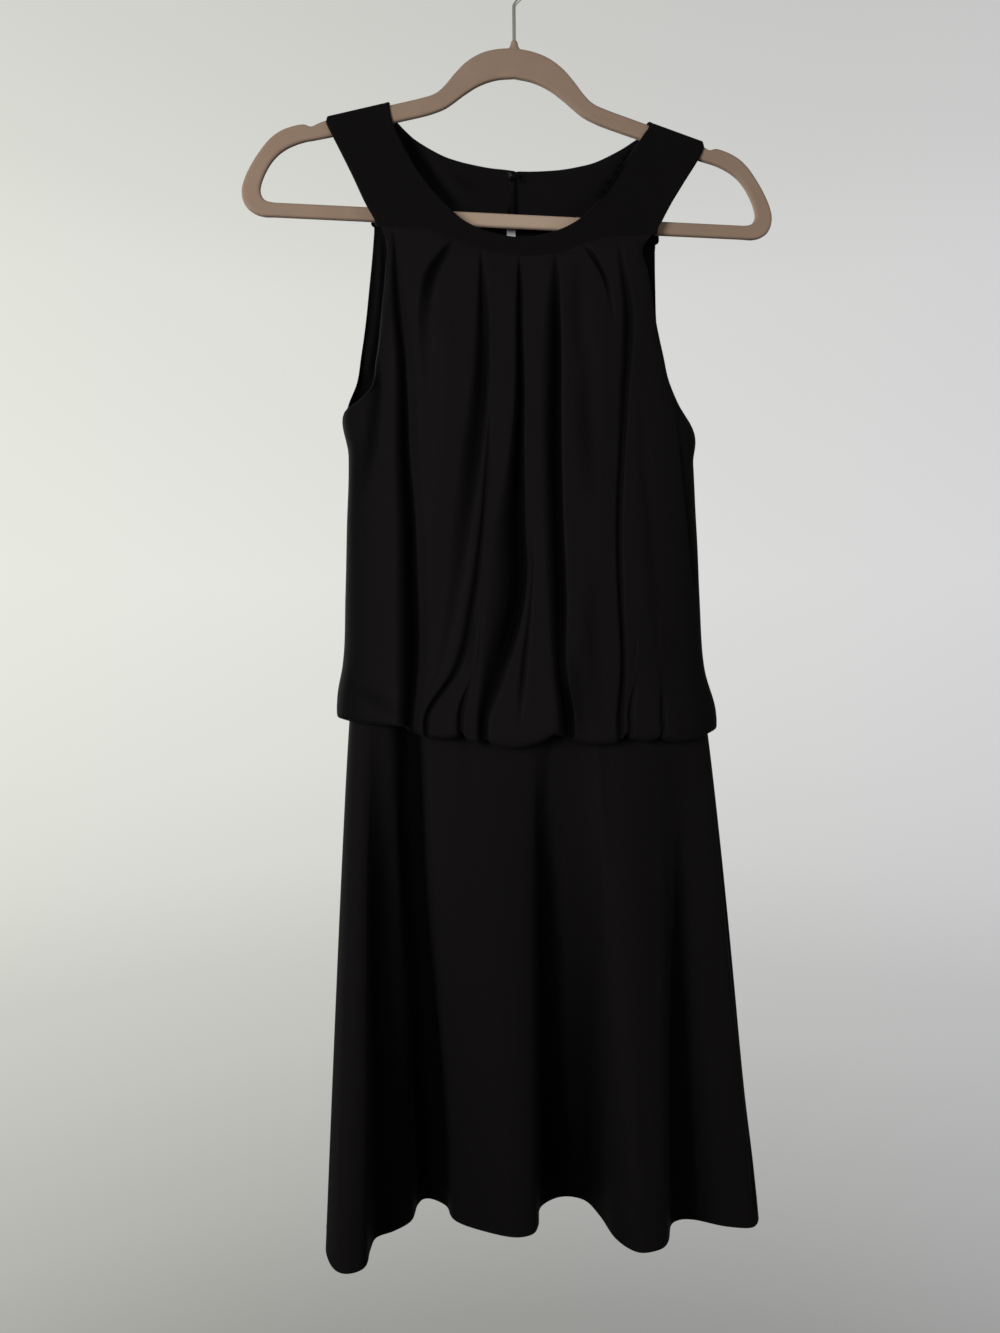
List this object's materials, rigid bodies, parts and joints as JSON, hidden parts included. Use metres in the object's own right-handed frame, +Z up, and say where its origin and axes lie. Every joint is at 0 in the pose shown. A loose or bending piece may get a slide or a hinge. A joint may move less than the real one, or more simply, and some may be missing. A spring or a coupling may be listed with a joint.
{
  "type": "cocktail dress on a hanger",
  "caption": "Sleeveless blouson cocktail dress in black jersey, with a round yoke, a pleated front and a flared skirt, hanging on a slim flocked hanger.",
  "frame": {"origin": "the inner seat of the hanger's hook, where a rod carries it", "axes": "+Z up, +X towards the wearer's left and the right of someone who faces the front, +Y towards the back of the dress"},
  "size_m": [0.4446, 0.1226, 1.0607],
  "materials": {
    "black_jersey": "matt black knitted jersey",
    "taupe_flock": "short velvet flock on plastic",
    "steel_wire": "plain bright wire",
    "white_tab": "bare woven tape"
  },
  "bodies": {
    "root": {"front_yoke": "black_jersey", "back_yoke_left": "black_jersey", "back_yoke_right": "black_jersey", "front_bodice": "black_jersey", "back_bodice_left": "black_jersey", "back_bodice_right": "black_jersey", "front_skirt": "black_jersey", "back_skirt": "black_jersey", "neck_hook": "steel_wire", "neck_eye": "steel_wire", "size_tab": "white_tab", "hanger_frame": "taupe_flock", "hanger_hook": "steel_wire"}
  },
  "joints": []
}
